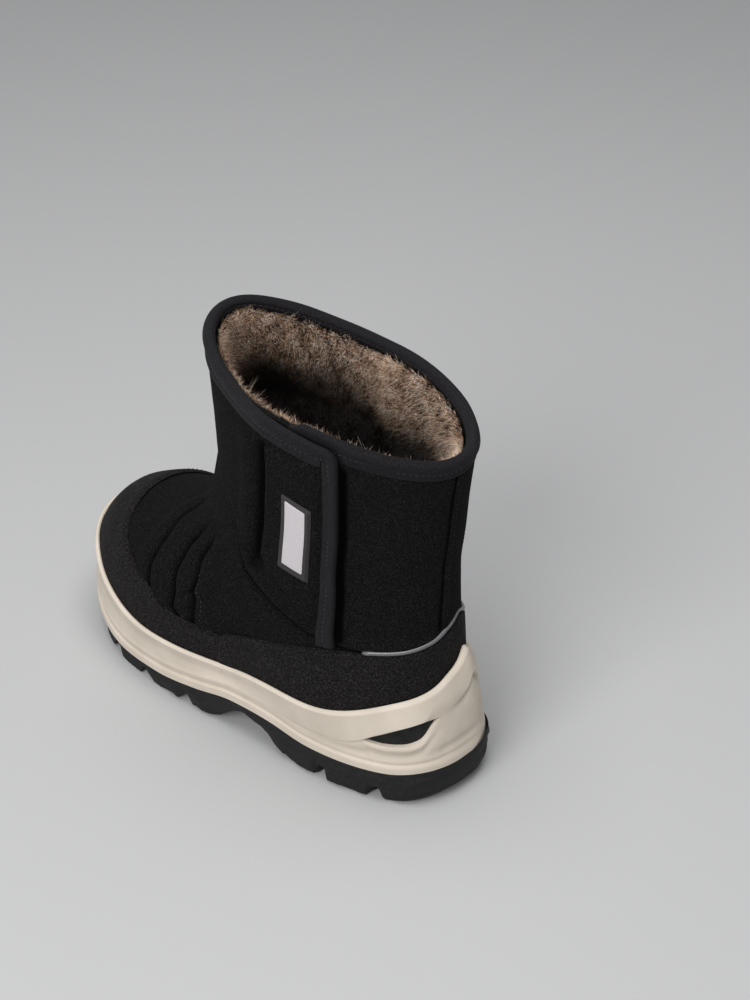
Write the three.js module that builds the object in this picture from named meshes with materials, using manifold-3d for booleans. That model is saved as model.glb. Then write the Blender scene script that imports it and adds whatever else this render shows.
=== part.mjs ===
// Left snow boot: padded soft-shell upper with deep fur, suede rand and counter,
// sculpted cup midsole with a window on each side of the heel, and a lugged rubber outsole.
// Frame: +X to the toe, +Y to the lateral side, +Z up, millimetres, origin on the ground at the middle.
import * as THREE from 'three';
import { mergeVertices } from 'three/addons/utils/BufferGeometryUtils.js';
import Module from 'manifold-3d';

const wasm = await Module();
wasm.setup();

// ---- Driving dimensions ----
const SOLE_LENGTH = 240;
const TOE_TURN = { by: 6, from: 10, length: 110 };   // the toe end turns to the medial side
const GAP = 0.3;               // between pieces that touch
const WALL = 9;                // soft-shell, padding and fur together
const RIM_WALL = 5;            // the same layers pressed together under the collar tape
const SUEDE = 1.5;             // rand and counter
const TAPE = 1.2;              // collar tape
const FLAP_INNER = 1.8;        // the flap lies over the collar tape
const FLAP_THICKNESS = 3.8;
const FLAP_TAPE = 0.9;         // how far the tape stands proud of the flap
const TAPE_WIDTH = 8;
const FLAP_TOP_BAND = 15.2;    // the same along the flap's top, down to the tape's lower edge
const SHAFT_RADIUS = 59;       // turns a width on the flap into an angle
const PIPING_HEIGHT = 2.6;
const PIPING_PROUD = 0.6;      // past the suede
const CUP_THICKNESS = 2.4;     // midsole at its top edge
const CUP = { lip: 2.5, lean: 0.12, bulge: 0.55 };    // the cup wall's upright lip, then its curve
const WINDOW_DEPTH = 16;
const INSERT_THICKNESS = 2.2;
const LEAST_BAND = 3.2;        // height of the tread's side where it is lowest
const INSOLE_THICKNESS = 5;
const COLLAR_RISE = 250;       // height gained by one unit of v above the collar
const HEEL_RISE = 135;         // the same on the heel
const TAPE_ROW = 0.965;        // lower edge of the collar tape
const HEEL_MIDDLE = 189;       // angle of the back seam, a little to the medial side
const AROUND = 48;             // points around the boot
const SIDE_POWER = 1.6;        // spreads the points evenly along the sides

// ---- Tables: one row a section ----

// The last, from the feather line (v = 0) to the collar (v = 1). Each section is four quarter
// arcs between its front end, its back end and its two widest places.
const LAST = table(
  ['v', 'frontX', 'frontZ', 'backX', 'backZ', 'wideX', 'wideZ', 'lateral', 'medial',
    'frontPower', 'backPower', 'waistLateral', 'waistMedial'],
  [
    [0.00, 109, 31, -103, 31, 40, 21, 45.0, 43.0, 2.30, 2.8, 0.14, 0.18],
    [0.06, 113, 41, -106, 41, 38, 29.5, 47.0, 45.0, 2.30, 2.8, 0.13, 0.17],
    [0.13, 114, 53, -108, 52, 35, 39.5, 47.5, 45.0, 2.30, 2.7, 0.12, 0.16],
    [0.21, 107, 65, -109, 64, 30, 51, 47.0, 44.0, 2.25, 2.6, 0.10, 0.13],
    [0.30, 92, 75, -109, 75, 22, 63, 45.0, 43.0, 2.20, 2.5, 0.07, 0.09],
    [0.39, 74, 83, -109, 86, 10, 74, 43.0, 41.0, 2.10, 2.4, 0.04, 0.05],
    [0.48, 55, 91, -108, 97, -5, 86, 41.0, 39.5, 2.05, 2.3, 0.01, 0.01],
    [0.57, 38, 101, -108, 109, -20, 100, 39.5, 38.0, 2.00, 2.2, 0.00, 0.00],
    [0.66, 27, 116, -108, 123, -31, 117, 38.5, 37.5, 2.05, 2.1, 0.00, 0.00],
    [0.77, 23, 140, -110, 142, -38, 139, 38.5, 37.0, 2.10, 2.1, 0.00, 0.00],
    [0.88, 25, 171, -112, 163, -42, 165, 39.0, 37.0, 2.10, 2.05, 0.00, 0.00],
    [1.00, 27.2, 204.5, -115, 184, -44, 194, 40.5, 37.0, 2.05, 2.0, 0.00, 0.00],
  ]);

// The sole's edge where midsole and outsole meet, seen from above.
const SOLE = { frontX: SOLE_LENGTH / 2, backX: -SOLE_LENGTH / 2, wideX: 50, lateral: 48.5, medial: 47.2,
  frontPower: 2.25, backPower: 2.8, waistLateral: 0.07, waistMedial: 0.09, waistX: -22, waistLength: 38 };
const LAST_WAIST = { x: -12, length: 32 };

// Height of that edge along the boot, and of the tread below it.
const SOLE_EDGE = table(['x', 'z'], [
  [-120, 22], [-100, 18.5], [-60, 17.5], [-35, 19.5], [-12, 19], [12, 14.5], [40, 10.5], [62, 10], [95, 17],
  [120, 30]]);
const TREAD = table(['x', 'z'], [
  [-120, 5], [-106, 0.6], [-98, 0], [-50, 0], [-44, 2], [-32, 10], [-20, 14], [-10, 10], [0, 2], [6, 0],
  [66, 0], [76, 1], [98, 9], [120, 24]]);
// The tread's side from its top to its flat underside: how far it stands out of the edge, and its
// height, counted down from the edge or up from the tread.
const TREAD_SIDE = [
  { grow: 0.4, drop: GAP }, { grow: 1.2, drop: 3 }, { grow: 0.6, rise: 2.2 }, { grow: -2, rise: 0 }];

// Edges that run round the boot: a is the angle from the toe to the back seam, over either side.
const CUP_EDGE = table(['a', 'v'], [
  [0, 0.14], [20, 0.145], [37, 0.152], [59, 0.122], [84, 0.103], [95, 0.105], [107, 0.125], [115, 0.138],
  [128, 0.128], [138, 0.140], [154, 0.177], [172, 0.200], [179, 0.210], [184, 0.248], [189, 0.315]]);
const RAND_EDGE = table(['a', 'v'], [
  [0, 0.338], [19, 0.334], [46, 0.298], [77, 0.268], [93, 0.226], [101, 0.222], [106, 0.228]]);
const COUNTER_EDGE = table(['a', 'v'], [
  [98, 0.260], [103, 0.283], [109, 0.307], [119, 0.356], [126, 0.376], [134, 0.388], [150, 0.386],
  [160, 0.394], [168, 0.402], [175, 0.415], [180, 0.441], [184.5, 0.476], [189, 0.505]]);
const FLAP_TOP = 1.02;         // the flap's block is cut off by the last at the collar
const OVERLAP_ANGLE = 101.5;   // where the counter's front end meets the rand
const PIPING_START = 139;
const PIPING_ROWS = [0.34, 0.58];

// The closure flap on the lateral side: its fold, its free edge and its slanting lower edge.
const FLAP_FOLD = table(['v', 'a'], [
  [0.50, 101], [0.56, 98], [0.66, 92], [0.76, 89], [0.88, 88.5], [1.05, 90]]);
const FLAP_FREE = table(['v', 'a'], [
  [0.38, 132], [0.43, 129.6], [0.62, 123.7], [0.75, 121], [0.94, 119.5], [1.05, 119]]);
const FLAP_FOOT = table(['a', 'v'], [
  [86, 0.64], [95, 0.59], [100, 0.56], [111, 0.51], [122, 0.455], [132, 0.42]]);

// Heel window, on either side: its lower and upper edge, as shares of the cup wall's height.
const WINDOW = table(['a', 'low', 'high'], [
  [141, 0.44, 0.51], [146, 0.40, 0.575], [152, 0.366, 0.622], [158, 0.362, 0.648], [163, 0.408, 0.660],
  [168, 0.52, 0.662], [171, 0.575, 0.65]]);
const INSERT_SHRINK = { share: 0.02, angle: 0.8 };     // the insert's gap to the window's edges

// Grooves across the tread: middle, width along the boot, sweep from the middle to the side, and top.
const GROOVES = table(['x', 'width', 'sweep', 'top'], [
  [-97, 6, 6, 7], [-71, 6, 8, 7.5], [24, 6, -8, 5.5], [53, 8, -8, 5.2], [79, 6, -9, 7], [95, 5, -10, 12]]);
// Grooves along the tread, between the two ends of the heel or of the forefoot.
const CHANNELS = table(['from', 'to', 'y', 'width', 'top'], [
  [10, 76, -17, 5, 4], [11, 76, 15, 5, 4], [-92, -52, 0, 6, 4]]);

// ---- Curves ----

function table(columns, rows) {
  const x = rows.map((row) => row[0]);
  const out = {};
  columns.slice(1).forEach((name, k) => { out[name] = monotone(x, rows.map((row) => row[k + 1])); });
  out.first = x[0];
  out.last = x[x.length - 1];
  out.rows = rows.map((row) => Object.fromEntries(columns.map((name, k) => [name, row[k]])));
  return out;
}

// A smooth curve through the values that never overshoots them.
function monotone(x, y) {
  const n = x.length;
  const h = [];
  const d = [];
  for (let i = 0; i < n - 1; i++) {
    h.push(x[i + 1] - x[i]);
    d.push((y[i + 1] - y[i]) / h[i]);
  }
  const m = [d[0]];
  for (let i = 1; i < n - 1; i++) {
    const w1 = 2 * h[i] + h[i - 1];
    const w2 = h[i] + 2 * h[i - 1];
    m.push(d[i - 1] * d[i] <= 0 ? 0 : (w1 + w2) / (w1 / d[i - 1] + w2 / d[i]));
  }
  m.push(d[n - 2]);
  return (value) => {
    const q = Math.min(Math.max(value, x[0]), x[n - 1]);
    let i = 0;
    while (i < n - 2 && q > x[i + 1]) i++;
    const t = (q - x[i]) / h[i];
    return y[i] * (1 + 2 * t) * (1 - t) ** 2 + m[i] * h[i] * t * (1 - t) ** 2
      + y[i + 1] * t * t * (3 - 2 * t) + m[i + 1] * h[i] * t * t * (t - 1);
  };
}

const smooth = (t) => { const c = Math.min(Math.max(t, 0), 1); return c * c * (3 - 2 * c); };
const turn = (x) => -TOE_TURN.by * Math.max(0, (x - TOE_TURN.from) / TOE_TURN.length) ** 2;

// ---- The last's surface ----

const TURN_ROWS = { end: 0.75, length: 0.3 };          // the toe's turn fades out over these heights
const STEP = 1e-3;                                     // for the surface's slopes

// A point of the upper's outer face at height v and angle a (radians, lateral side positive).
function lastPoint(v, a) {
  const q = Math.min(v, 1);
  const c = Math.cos(a);
  const s = Math.sin(a);
  const front = c >= 0;
  const power = (front ? LAST.frontPower : LAST.backPower)(q);
  const reach = Math.abs(c) ** (2 / power);
  const wideX = LAST.wideX(q);
  const x = wideX + ((front ? LAST.frontX : LAST.backX)(q) - wideX) * reach;
  const z = LAST.wideZ(q) + ((front ? LAST.frontZ : LAST.backZ)(q) - LAST.wideZ(q)) * reach ** 2;
  const half = s >= 0 ? LAST.lateral(q) : LAST.medial(q);
  const waist = s >= 0 ? LAST.waistLateral(q) : LAST.waistMedial(q);
  const pinch = 1 - waist * Math.exp(-(((x - LAST_WAIST.x) / LAST_WAIST.length) ** 2));
  const turned = turn(x) * smooth((TURN_ROWS.end - q) / TURN_ROWS.length);
  const y = Math.sign(s) * half * Math.abs(s) ** (2 / power) * pinch + turned;
  return new THREE.Vector3(x, y, z + Math.max(0, v - 1) * COLLAR_RISE);
}

// The same point moved outwards along the surface's normal.
function shellPoint(v, a, offset) {
  const p = lastPoint(v, a);
  if (offset === 0) return p;
  const along = lastPoint(v, a + STEP).sub(lastPoint(v, a - STEP));
  const below = Math.max(Math.min(v, 1) - STEP, 0);
  const up = lastPoint(below + STEP, a).sub(lastPoint(below, a));
  return p.addScaledVector(along.cross(up).normalize(), offset);
}

// Angles of the points around the boot, from the toe over the lateral side to the heel and back.
const ANGLES = Array.from({ length: AROUND }, (_, k) => {
  const c = Math.cos((2 * Math.PI * k) / AROUND);
  const a = Math.acos(Math.sign(c) * Math.abs(c) ** SIDE_POWER);
  return k <= AROUND / 2 ? a : 2 * Math.PI - a;
});
const rad = THREE.MathUtils.degToRad;

// The angle from the toe over either side, for edges that mirror at the back seam, and its inverse
// on the medial side. Both are in degrees.
const MEDIAL_SHARE = (360 - HEEL_MIDDLE) / HEEL_MIDDLE;
const fromToe = (d) => (d > HEEL_MIDDLE ? (360 - d) / MEDIAL_SHARE : d);
const mirrored = (d) => 360 - d * MEDIAL_SHARE;

// A point of the sole's edge, grown outwards by the given amount.
function solePoint(a, grow, z) {
  const c = Math.cos(a);
  const s = Math.sin(a);
  const power = c >= 0 ? SOLE.frontPower : SOLE.backPower;
  const end = c >= 0 ? SOLE.frontX + grow : SOLE.backX - grow;
  const x = SOLE.wideX + (end - SOLE.wideX) * Math.abs(c) ** (2 / power);
  const side = s >= 0 ? SOLE.lateral : SOLE.medial;
  const waist = s >= 0 ? SOLE.waistLateral : SOLE.waistMedial;
  const pinch = 1 - waist * Math.exp(-(((x - SOLE.waistX) / SOLE.waistLength) ** 2));
  const y = Math.sign(s) * (side * pinch + grow) * Math.abs(s) ** (2 / power) + turn(x);
  return new THREE.Vector3(x, y, z(x));
}

// ---- Solids ----

// Skins a stack of rings. A loop joins the last ring to the first; otherwise strips that run
// from the lateral to the medial side close both ends.
function skin(rings, loop = false) {
  const n = rings[0].length;
  const index = [];
  const quad = (a, b, c, d) => index.push(a, b, c, a, c, d);
  const layers = loop ? rings.length : rings.length - 1;
  for (let i = 0; i < layers; i++) {
    const lower = i * n;
    const upper = ((i + 1) % rings.length) * n;
    for (let j = 0; j < n; j++) quad(lower + j, lower + (j + 1) % n, upper + (j + 1) % n, upper + j);
  }
  if (!loop) {
    const top = (rings.length - 1) * n;
    for (let j = 0; j < n / 2; j++) {
      const p = [j, j + 1, (n - j - 1) % n, (n - j) % n];
      addStrip(index, p.map((k) => top + k));
      addStrip(index, [...p].reverse());
    }
  }
  return solid(rings.flat(), index);
}

function addStrip(index, [a, b, c, d]) {
  if (a !== b && b !== c && c !== a) index.push(a, b, c);
  if (a !== c && c !== d && d !== a) index.push(a, c, d);
}

// A slab between an inner and an outer sheet: at(s, t, side) with s and t from 0 to 1.
function slab(at, rows, columns) {
  const points = [];
  for (const side of [0, 1]) {
    for (let i = 0; i <= rows; i++) {
      for (let j = 0; j <= columns; j++) points.push(at(i / rows, j / columns, side));
    }
  }
  const id = (side, i, j) => side * (rows + 1) * (columns + 1) + i * (columns + 1) + j;
  const index = [];
  const quad = (a, b, c, d) => index.push(a, b, c, a, c, d);
  for (let i = 0; i < rows; i++) {
    for (let j = 0; j < columns; j++) {
      quad(id(1, i, j), id(1, i, j + 1), id(1, i + 1, j + 1), id(1, i + 1, j));
      quad(id(0, i, j), id(0, i + 1, j), id(0, i + 1, j + 1), id(0, i, j + 1));
    }
  }
  for (let i = 0; i < rows; i++) {
    quad(id(0, i, 0), id(1, i, 0), id(1, i + 1, 0), id(0, i + 1, 0));
    quad(id(0, i + 1, columns), id(1, i + 1, columns), id(1, i, columns), id(0, i, columns));
  }
  for (let j = 0; j < columns; j++) {
    quad(id(0, 0, j + 1), id(1, 0, j + 1), id(1, 0, j), id(0, 0, j));
    quad(id(0, rows, j), id(1, rows, j), id(1, rows, j + 1), id(0, rows, j + 1));
  }
  return solid(points, index);
}

// A closed geometry whose faces point out.
function solid(points, index) {
  let volume = 0;
  for (let i = 0; i < index.length; i += 3) {
    const [a, b, c] = [0, 1, 2].map((k) => points[index[i + k]]);
    volume += a.dot(b.clone().cross(c));
  }
  const order = volume >= 0 ? index : index.map((_, i) => index[i - (i % 3) + [0, 2, 1][i % 3]]);
  const geometry = new THREE.BufferGeometry();
  geometry.setAttribute('position', new THREE.Float32BufferAttribute(points.flatMap((p) => p.toArray()), 3));
  geometry.setIndex(order);
  return geometry;
}

function toManifold(geometry) {
  const bare = geometry.clone();
  bare.deleteAttribute('normal');
  bare.deleteAttribute('uv');
  const merged = mergeVertices(bare, 1e-4);
  return new wasm.Manifold(new wasm.Mesh({
    numProp: 3,
    vertProperties: new Float32Array(merged.attributes.position.array),
    triVerts: new Uint32Array(merged.index.array),
  }));
}

function toGeometry(manifold) {
  const mesh = manifold.getMesh();
  const geometry = new THREE.BufferGeometry();
  geometry.setAttribute('position', new THREE.Float32BufferAttribute(mesh.vertProperties, 3));
  geometry.setIndex(Array.from(mesh.triVerts));
  return geometry;
}

const ring = (v, offset) => ANGLES.map((a) => shellPoint(v, a, offset));
const OUTER_ROWS = [
  0, 0.06, 0.12, 0.18, 0.24, 0.30, 0.36, 0.42, 0.48, 0.55, 0.62, 0.70, 0.80, 0.90, TAPE_ROW, 1];
const INNER_ROWS = [0.90, 0.78, 0.66, 0.56, 0.47, 0.38, 0.29, 0.20, 0.10, 0];

// The whole last grown by an offset, closed at both ends, for cutting.
function form(offset) {
  return toManifold(skin(OUTER_ROWS.map((v) => ring(v, offset))));
}

// What lies between two offsets of the last.
function layer(inner, outer) {
  return form(outer).subtract(form(inner));
}

const REGION = { inside: -2, outside: 12 };
const BELOW_LAST = -0.02;

// A block over part of the last, reaching from inside its wall to well outside it.
function region(angle, height, rows, columns, reach = REGION.outside) {
  return toManifold(slab((s, t, side) => {
    const a = angle(s, t);
    return shellPoint(height(s, t, a), rad(a), side ? reach : REGION.inside);
  }, rows, columns));
}

// ---- Pieces ----

const soleEdge = (drop) => (x) => SOLE_EDGE.z(x) - drop;

function upper() {
  const outer = OUTER_ROWS.map((v) => ring(v, 0));
  const rim = [ring(1, -RIM_WALL), ring(TAPE_ROW, -RIM_WALL)];
  const inner = INNER_ROWS.map((v) => ring(v, -WALL));
  return skin([...outer, ...rim, ...inner], true);
}

// The collar tape is folded over the rim: a loop of points in offset and height, swept round.
function collarTape() {
  const roll = 0.8;
  const out = GAP + TAPE;
  const inn = RIM_WALL + GAP;
  const over = 1 + GAP / COLLAR_RISE;
  const bend = 1 + roll / COLLAR_RISE;
  const top = 1 + (GAP + TAPE + roll) / COLLAR_RISE;
  const section = [[out, TAPE_ROW], [out, bend], [0, top], [-inn, top], [-inn - TAPE, bend],
    [-inn - TAPE, TAPE_ROW], [-inn, TAPE_ROW], [-inn, over], [GAP, over], [GAP, TAPE_ROW]];
  return skin(section.map(([offset, v]) => ring(v, offset)), true);
}

// Rand round the toe and the forefoot; it ends under the counter's front end.
function rand() {
  const end = OVERLAP_ANGLE - 0.5;
  const height = (s, t, a) => THREE.MathUtils.lerp(BELOW_LAST, RAND_EDGE.v(Math.abs(a)), s);
  const band = region((s, t) => THREE.MathUtils.lerp(-end, end, t), height, 4, 28);
  return layer(GAP, GAP + SUEDE).intersect(band);
}

const counterTop = (a) => COUNTER_EDGE.v(fromToe(a));

// The counter's block, its top edge raised by the given distance.
function counterBlock(lift) {
  const height = (s, t, a) => THREE.MathUtils.lerp(BELOW_LAST, counterTop(a) + lift / HEEL_RISE, s);
  return region((s, t) => THREE.MathUtils.lerp(OVERLAP_ANGLE, 360 - OVERLAP_ANGLE, t), height, 4, 30);
}

function counter() {
  return layer(GAP, GAP + SUEDE).intersect(counterBlock(0));
}

// A cord of reflective tape stitched in along the counter's top edge, round the back.
function piping() {
  const angle = (s, t) => THREE.MathUtils.lerp(PIPING_START, mirrored(PIPING_START), t);
  const stretch = region(angle, (s) => THREE.MathUtils.lerp(...PIPING_ROWS, s), 2, 12, 4);
  return layer(GAP, GAP + SUEDE + PIPING_PROUD).intersect(stretch)
    .intersect(counterBlock(GAP + PIPING_HEIGHT)).subtract(counterBlock(GAP));
}

// A block over part of the flap, as distances from its free edge and its top.
function flapBlock({ sideInset = 0, topInset = 0, edgeOnly = false, topOnly = false }) {
  const slope = (inset) => THREE.MathUtils.radToDeg(inset / SHAFT_RADIUS);
  const top = FLAP_TOP - topInset / COLLAR_RISE;
  const low = (a) => (topOnly ? FLAP_TOP - FLAP_TOP_BAND / COLLAR_RISE : FLAP_FOOT.v(a));
  const height = (a, s) => THREE.MathUtils.lerp(low(a), top, s);
  const start = (v) => (edgeOnly ? FLAP_FREE.a(v) - slope(TAPE_WIDTH) : FLAP_FOLD.a(v));
  const angle = (v, t) => THREE.MathUtils.lerp(start(v), FLAP_FREE.a(v) - slope(sideInset), t);
  const guess = 0.7;           // height at which the foot's angle is read
  const reach = 8;
  return region((s, t) => angle(height(angle(guess, t), s), t), (s, t, a) => height(a, s), topOnly ? 1 : 12,
    edgeOnly ? 2 : 6, reach);
}

function flap() {
  const block = flapBlock({ sideInset: TAPE_WIDTH + GAP, topInset: FLAP_TOP_BAND + GAP });
  return layer(FLAP_INNER, FLAP_INNER + FLAP_THICKNESS).intersect(block);
}

function flapTape() {
  const edge = flapBlock({ edgeOnly: true }).add(flapBlock({ topOnly: true }));
  return layer(FLAP_INNER, FLAP_INNER + FLAP_THICKNESS + FLAP_TAPE).intersect(edge);
}

const FOOT_FORM = GAP + SUEDE + GAP;

// Outer face of the midsole at angle a: share 0 is the sole's edge and 1 the cup's top edge.
function cupPoint(share, a, grow) {
  const bottom = solePoint(a, grow, soleEdge(0));
  if (share === 0) return bottom;
  const top = shellPoint(cupTop(a), a, FOOT_FORM + CUP_THICKNESS + grow);
  const low = bottom.clone().setZ(bottom.z + CUP.lip);
  const mid = low.clone().lerp(top, CUP.lean).setZ(THREE.MathUtils.lerp(low.z, top.z, CUP.bulge));
  return low.multiplyScalar((1 - share) ** 2)
    .addScaledVector(mid, 2 * share * (1 - share))
    .addScaledVector(top, share ** 2);
}

const cupTop = (a) => CUP_EDGE.v(fromToe(THREE.MathUtils.radToDeg(a)));

function windowBlock(side, shrink, grow) {
  const first = WINDOW.first + shrink.angle;
  const last = WINDOW.last - shrink.angle;
  return toManifold(slab((s, t, out) => {
    const d = THREE.MathUtils.lerp(first, last, t);
    const a = rad(side > 0 ? d : mirrored(d));
    const share = THREE.MathUtils.lerp(WINDOW.low(d) + shrink.share, WINDOW.high(d) - shrink.share, s);
    const p = cupPoint(share, a, grow);
    const inward = cupPoint(share, a, grow - WINDOW_DEPTH).sub(p).normalize();
    return p.addScaledVector(inward, out ? 0 : WINDOW_DEPTH);
  }, 2, 8));
}

function midsole() {
  const walls = [0, 0.001, 0.2, 0.4, 0.6, 0.8, 1].map((share) => ANGLES.map((a) => cupPoint(share, a, 0)));
  const lip = ANGLES.map((a) => shellPoint(cupTop(a), a, 0));
  const sole = ring(0, FOOT_FORM).map((p) => p.setZ(p.z - GAP));
  const foot = toManifold(skin([sole, ...OUTER_ROWS.slice(1).map((v) => ring(v, FOOT_FORM))]));
  const whole = { share: 0, angle: 0 };
  return toManifold(skin([...walls, lip])).subtract(foot)
    .subtract(windowBlock(1, whole, 2)).subtract(windowBlock(-1, whole, 2));
}

// Black rubber seen through the heel window. Slivers at the window's sharp ends are dropped.
function windowInsert(side) {
  const shell = layer(FOOT_FORM, FOOT_FORM + INSERT_THICKNESS);
  const whole = shell.intersect(windowBlock(side, INSERT_SHRINK, 1));
  return whole.decompose().reduce((a, b) => (b.volume() > a.volume() ? b : a));
}

function outsole() {
  const rings = TREAD_SIDE.map(({ grow, drop, rise }) => {
    const underside = (x) => Math.min(TREAD.z(x) + rise, SOLE_EDGE.z(x) - LEAST_BAND);
    return ANGLES.map((a) => solePoint(a, grow, drop === undefined ? underside : soleEdge(drop)));
  });
  let body = toManifold(skin(rings));
  for (const groove of GROOVES.rows) body = body.subtract(toManifold(grooveCutter(groove)));
  for (const { from, to, y, width, top } of CHANNELS.rows) {
    const cutter = new THREE.BoxGeometry(to - from, width, 2 * top);
    cutter.translate((from + to) / 2, y, 0);
    body = body.subtract(toManifold(cutter));
  }
  return body;
}

// A groove runs straight across the middle and sweeps to the sides.
function grooveCutter({ x, width, sweep, top }) {
  const reach = 70;
  const bend = 12;
  const shape = new THREE.Shape();
  const w = width / 2;
  shape.moveTo(x + sweep - w, -reach);
  shape.lineTo(x + sweep + w, -reach);
  shape.lineTo(x + w, -bend);
  shape.lineTo(x + w, bend);
  shape.lineTo(x + sweep + w, reach);
  shape.lineTo(x + sweep - w, reach);
  shape.lineTo(x - w, bend);
  shape.lineTo(x - w, -bend);
  shape.closePath();
  const base = -3;
  const geometry = new THREE.ExtrudeGeometry(shape, { depth: top - base, bevelEnabled: false });
  geometry.translate(0, 0, base);
  return geometry;
}

function insole() {
  const floor = ring(0, -WALL - 2 * GAP);
  return skin([floor, floor.map((p) => p.clone().setZ(p.z + INSOLE_THICKNESS))]);
}

// ---- Assembly ----

const BLACK = 0x1a1a1c;
const PIECES = [
  ['outsole', () => toGeometry(outsole()), 0x2a2a2b, 0.75],
  ['midsole', () => toGeometry(midsole()), 0xdcd4c8, 0.6],
  ['window_insert_lateral', () => toGeometry(windowInsert(1)), 0x202022, 0.6],
  ['window_insert_medial', () => toGeometry(windowInsert(-1)), 0x202022, 0.6],
  ['insole', insole, 0x6e5b4d, 0.95],
  ['upper', upper, BLACK, 0.9],
  ['front_rand', () => toGeometry(rand()), 0x2d2a2c, 0.95],
  ['heel_counter', () => toGeometry(counter()), 0x2d2a2c, 0.95],
  ['reflective_piping', () => toGeometry(piping()), 0x9a9a9a, 0.4],
  ['collar_tape', collarTape, 0x3a383a, 0.85],
  ['closure_flap', () => toGeometry(flap()), BLACK, 0.9],
  ['flap_tape', () => toGeometry(flapTape()), 0x3a383a, 0.85],
];

const group = new THREE.Group();
for (const [name, make, color, roughness] of PIECES) {
  const mesh = new THREE.Mesh(make(), new THREE.MeshStandardMaterial({ color, roughness, metalness: 0 }));
  mesh.name = name;
  group.add(mesh);
}

export default group;
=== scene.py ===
import math

import bmesh
import bpy
import numpy as np
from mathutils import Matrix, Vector, kdtree


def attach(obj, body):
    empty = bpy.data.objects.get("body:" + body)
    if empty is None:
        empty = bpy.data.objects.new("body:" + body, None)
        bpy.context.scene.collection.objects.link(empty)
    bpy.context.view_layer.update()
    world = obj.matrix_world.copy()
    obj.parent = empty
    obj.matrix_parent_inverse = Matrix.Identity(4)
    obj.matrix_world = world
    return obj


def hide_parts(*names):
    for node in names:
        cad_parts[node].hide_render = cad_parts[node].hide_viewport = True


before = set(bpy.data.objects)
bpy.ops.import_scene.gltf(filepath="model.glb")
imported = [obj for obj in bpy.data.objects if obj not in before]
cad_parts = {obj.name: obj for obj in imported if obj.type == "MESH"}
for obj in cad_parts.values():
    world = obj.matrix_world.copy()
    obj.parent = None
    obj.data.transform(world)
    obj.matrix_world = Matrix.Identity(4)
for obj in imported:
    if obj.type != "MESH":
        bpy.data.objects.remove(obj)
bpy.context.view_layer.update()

# ---- Upper ----
# The boot's shell is black brushed soft-shell over wadding, cut as a vamp, a front shaft panel
# that overlaps it, and a rear panel. Three curved tucks are stitched through the vamp's padding.

MM = 0.001
TOE_TURN = 6.0
LAST_WAIST_X, LAST_WAIST_LENGTH = -12.0, 32.0
COLLAR_RISE = 250.0                     # millimetres to one unit of height past the collar
SHAFT_RISE, TRIM_RISE = 190.0, 140.0    # the same on the shaft, and near the sole
RIM_ROW = 0.955                         # share of the shell's rows where its outer face ends
TAPE_ROW = 0.965                        # height on the shell where the collar's binding begins


def curve(x, y):
    """A smooth curve through the values that never overshoots them."""
    x, y = np.array(x, float), np.array(y, float)
    h = np.diff(x)
    d = np.diff(y) / h
    m = np.r_[d[0], np.zeros(len(x) - 2), d[-1]]
    for i in range(1, len(x) - 1):
        if d[i - 1] * d[i] > 0:
            w1, w2 = 2 * h[i] + h[i - 1], h[i] + 2 * h[i - 1]
            m[i] = (w1 + w2) / (w1 / d[i - 1] + w2 / d[i])

    def at(q):
        q = np.clip(q, x[0], x[-1])
        i = np.clip(np.searchsorted(x, q, side="right") - 1, 0, len(x) - 2)
        t = (q - x[i]) / h[i]
        return (y[i] * (1 + 2 * t) * (1 - t) ** 2 + m[i] * h[i] * t * (1 - t) ** 2
                + y[i + 1] * t * t * (3 - 2 * t) + m[i + 1] * h[i] * t * t * (t - 1))
    return at


def table(*rows):
    """The columns of a table after its first, each as a curve over the first."""
    columns = list(zip(*rows))
    return [curve(columns[0], c) for c in columns[1:]]


(front_x, front_z, back_x, back_z, wide_x, wide_z, lateral, medial, front_power, back_power,
 waist_lateral, waist_medial) = table(
    (0.00, 109, 31, -103, 31, 40, 21, 45.0, 43.0, 2.30, 2.80, 0.14, 0.18),
    (0.06, 113, 41, -106, 41, 38, 29.5, 47.0, 45.0, 2.30, 2.80, 0.13, 0.17),
    (0.13, 114, 53, -108, 52, 35, 39.5, 47.5, 45.0, 2.30, 2.70, 0.12, 0.16),
    (0.21, 107, 65, -109, 64, 30, 51, 47.0, 44.0, 2.25, 2.60, 0.10, 0.13),
    (0.30, 92, 75, -109, 75, 22, 63, 45.0, 43.0, 2.20, 2.50, 0.07, 0.09),
    (0.39, 74, 83, -109, 86, 10, 74, 43.0, 41.0, 2.10, 2.40, 0.04, 0.05),
    (0.48, 55, 91, -108, 97, -5, 86, 41.0, 39.5, 2.05, 2.30, 0.01, 0.01),
    (0.57, 38, 101, -108, 109, -20, 100, 39.5, 38.0, 2.00, 2.20, 0.00, 0.00),
    (0.66, 27, 116, -108, 123, -31, 117, 38.5, 37.5, 2.05, 2.10, 0.00, 0.00),
    (0.77, 23, 140, -110, 142, -38, 139, 38.5, 37.0, 2.10, 2.10, 0.00, 0.00),
    (0.88, 25, 171, -112, 163, -42, 165, 39.0, 37.0, 2.10, 2.05, 0.00, 0.00),
    (1.00, 27.2, 204.5, -115, 184, -44, 194, 40.5, 37.0, 2.05, 2.00, 0.00, 0.00))


def smooth(t):
    c = np.clip(t, 0, 1)
    return c * c * (3 - 2 * c)


def bump(distance, width, power=2):
    """1 where the distance is 0, dying away over about twice the width."""
    return np.exp(-(distance / width) ** power)


def pillow(distance, round_over):
    """A rounded edge: 0 at the edge and 1 once the round is over."""
    d = np.clip(distance / round_over, 0, 1)
    return np.sqrt(np.clip(1 - (1 - d) ** 2, 0, 1))


def turn(x):
    return -TOE_TURN * np.maximum(0, (x - 10) / 110) ** 2


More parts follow.
